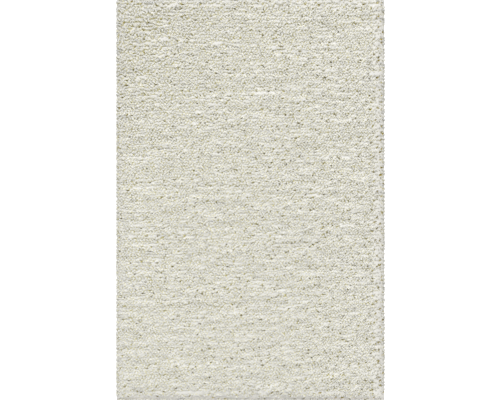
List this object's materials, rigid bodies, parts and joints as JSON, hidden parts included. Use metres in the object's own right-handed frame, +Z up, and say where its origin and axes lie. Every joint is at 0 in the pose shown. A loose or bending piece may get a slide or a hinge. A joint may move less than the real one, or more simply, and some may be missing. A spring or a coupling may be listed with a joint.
{
  "type": "cut length of broadloom carpet",
  "caption": "Flat rectangular cut length of deep, soft cut-pile carpet in off-white yarn on a stiff flat backing, lying pile up with gentle swells and hollows.",
  "frame": {"origin": "centre of the flat underside, on the floor", "axes": "+X across the width, +Y along the length, +Z up out of the pile"},
  "size_m": [0.3, 0.45, 0.0163],
  "materials": {
    "backing": "woven backing cloth over glue, pale straw, matt",
    "pile": "off-white twisted pile yarn, soft and matt"
  },
  "bodies": {
    "root": {"backing": "backing", "pile": "pile"}
  },
  "joints": []
}
